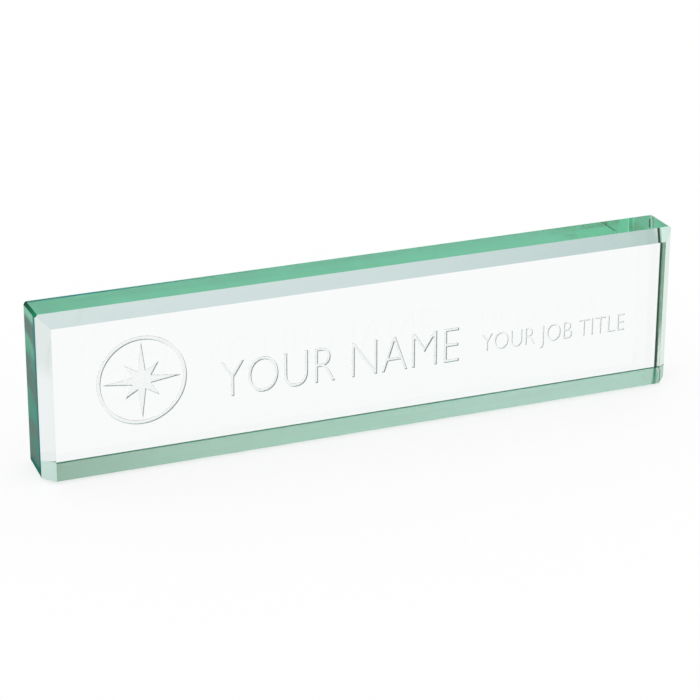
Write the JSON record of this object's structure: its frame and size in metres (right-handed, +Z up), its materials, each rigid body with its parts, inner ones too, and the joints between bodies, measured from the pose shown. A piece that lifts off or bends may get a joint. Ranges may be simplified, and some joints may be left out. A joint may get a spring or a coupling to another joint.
{
  "type": "desk name plate",
  "caption": "Free-standing desk name plate: a slab of thick green-edged glass with a bevelled front for engraving and a base cut to lean it back, on small clear feet.",
  "frame": {"origin": "on the desk, under the middle of the plate's outline", "axes": "+Z up, +X along the plate to the reader's right, +Y from the engraved face to the back"},
  "size_m": [0.254, 0.0254, 0.0637],
  "materials": {
    "jade_glass": "polished faces, fine-ground base, pale green tint that deepens with the length of glass looked through",
    "clear_foot": "clear soft polyurethane, satin"
  },
  "bodies": {
    "root": {"glass_block": "jade_glass", "foot_front_left": "clear_foot", "foot_front_right": "clear_foot", "foot_rear_left": "clear_foot", "foot_rear_right": "clear_foot"}
  },
  "joints": []
}
